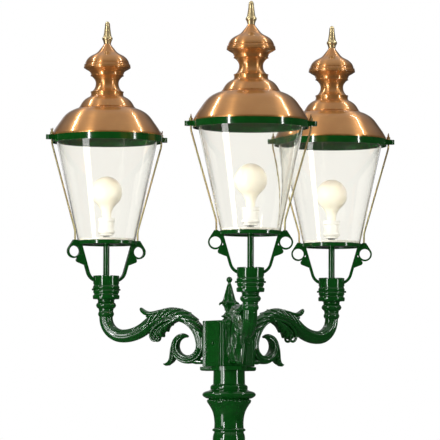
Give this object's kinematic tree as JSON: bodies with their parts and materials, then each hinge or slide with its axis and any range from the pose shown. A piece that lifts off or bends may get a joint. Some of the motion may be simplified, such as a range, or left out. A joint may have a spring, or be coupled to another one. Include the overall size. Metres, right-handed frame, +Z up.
{
  "type": "lamp post",
  "caption": "Post-top street lamp with round copper-hooded glass lanterns on scroll arms, fluted green post, lift-off hoods held by wing nuts and screw-in lamps.",
  "frame": {"origin": "ground level on the post's axis, centre of the anchor bolt circle", "axes": "+Z up along the post; the front arm points along -Y, so -Y is the front; +X is to the right seen from the front"},
  "size_m": [1.0722, 0.936, 2.7003],
  "materials": {
    "green_paint": "deep gloss",
    "steel": "zinc plated",
    "gasket": "matte cream",
    "clear_glass": "clear",
    "opal_glass": "opal",
    "porcelain": "glazed",
    "yellow_brass": "polished",
    "aged_brass": "dull",
    "copper": "satin brushed"
  },
  "bodies": {
    "post": {"post_foot": "green_paint", "foot_cap": "green_paint", "post_shaft": "green_paint", "post_capital": "green_paint", "ledge_plate": "green_paint", "hub_box": "green_paint", "hub_covers": "green_paint", "cover_screws": "green_paint", "hub_spire": "green_paint", "arm_front": "green_paint", "arm_right": "green_paint", "arm_left": "green_paint", "arm_bolts": "steel", "set_screws": "green_paint", "glass_gaskets": "gasket", "lamp_stems": "green_paint", "base_plates": "steel", "stem_nuts": "steel", "socket_front": "green_paint", "cage_frame_front": "green_paint", "glass_front": "clear_glass", "tie_rods_front": "aged_brass", "lamp_holder_front": "porcelain", "socket_right": "green_paint", "cage_frame_right": "green_paint", "glass_right": "clear_glass", "tie_rods_right": "aged_brass", "lamp_holder_right": "porcelain", "socket_left": "green_paint", "cage_frame_left": "green_paint", "glass_left": "clear_glass", "tie_rods_left": "aged_brass", "lamp_holder_left": "porcelain"},
    "hood_front_group": {"hood_ring_front": "green_paint", "hood_front": "copper", "chimney_front": "copper", "hood_cap_front": "copper", "finial_front": "yellow_brass"},
    "lamp_front_group": {"lamp_globe_front": "opal_glass", "lamp_cap_front": "yellow_brass"},
    "nut_a_front": {"wing_nut_a_front": "aged_brass"},
    "nut_b_front": {"wing_nut_b_front": "aged_brass"},
    "hood_right_group": {"hood_ring_right": "green_paint", "hood_right": "copper", "chimney_right": "copper", "hood_cap_right": "copper", "finial_right": "yellow_brass"},
    "lamp_right_group": {"lamp_globe_right": "opal_glass", "lamp_cap_right": "yellow_brass"},
    "nut_a_right": {"wing_nut_a_right": "aged_brass"},
    "nut_b_right": {"wing_nut_b_right": "aged_brass"},
    "hood_left_group": {"hood_ring_left": "green_paint", "hood_left": "copper", "chimney_left": "copper", "hood_cap_left": "copper", "finial_left": "yellow_brass"},
    "lamp_left_group": {"lamp_globe_left": "opal_glass", "lamp_cap_left": "yellow_brass"},
    "nut_a_left": {"wing_nut_a_left": "aged_brass"},
    "nut_b_left": {"wing_nut_b_left": "aged_brass"}
  },
  "joints": [
    {"name": "hood_lift_front", "type": "slide", "parent": "post", "child": "hood_front_group", "axis": [0, 0, 1], "range_m": [0, 0.2]},
    {"name": "lamp_turn_front", "type": "hinge", "parent": "post", "child": "lamp_front_group", "pos_m": [0, -0.4, 2.086], "axis": [0, 0, 1], "continuous": true},
    {"name": "nut_turn_a_front", "type": "hinge", "parent": "hood_front_group", "child": "nut_a_front", "pos_m": [0.17181, -0.42415, 2.3505], "axis": [0, 0, 1], "continuous": true},
    {"name": "nut_turn_b_front", "type": "hinge", "parent": "hood_front_group", "child": "nut_b_front", "pos_m": [-0.17181, -0.37585, 2.3505], "axis": [0, 0, 1], "continuous": true},
    {"name": "hood_lift_right", "type": "slide", "parent": "post", "child": "hood_right_group", "axis": [0, 0, 1], "range_m": [0, 0.2]},
    {"name": "lamp_turn_right", "type": "hinge", "parent": "post", "child": "lamp_right_group", "pos_m": [0.34641, 0.2, 2.086], "axis": [0, 0, 1], "continuous": true},
    {"name": "nut_turn_a_right", "type": "hinge", "parent": "hood_right_group", "child": "nut_a_right", "pos_m": [0.51822, 0.17585, 2.3505], "axis": [0, 0, 1], "continuous": true},
    {"name": "nut_turn_b_right", "type": "hinge", "parent": "hood_right_group", "child": "nut_b_right", "pos_m": [0.1746, 0.22415, 2.3505], "axis": [0, 0, 1], "continuous": true},
    {"name": "hood_lift_left", "type": "slide", "parent": "post", "child": "hood_left_group", "axis": [0, 0, 1], "range_m": [0, 0.2]},
    {"name": "lamp_turn_left", "type": "hinge", "parent": "post", "child": "lamp_left_group", "pos_m": [-0.34641, 0.2, 2.086], "axis": [0, 0, 1], "continuous": true},
    {"name": "nut_turn_a_left", "type": "hinge", "parent": "hood_left_group", "child": "nut_a_left", "pos_m": [-0.17555, 0.23013, 2.3505], "axis": [0, 0, 1], "continuous": true},
    {"name": "nut_turn_b_left", "type": "hinge", "parent": "hood_left_group", "child": "nut_b_left", "pos_m": [-0.51727, 0.16987, 2.3505], "axis": [0, 0, 1], "continuous": true}
  ]
}
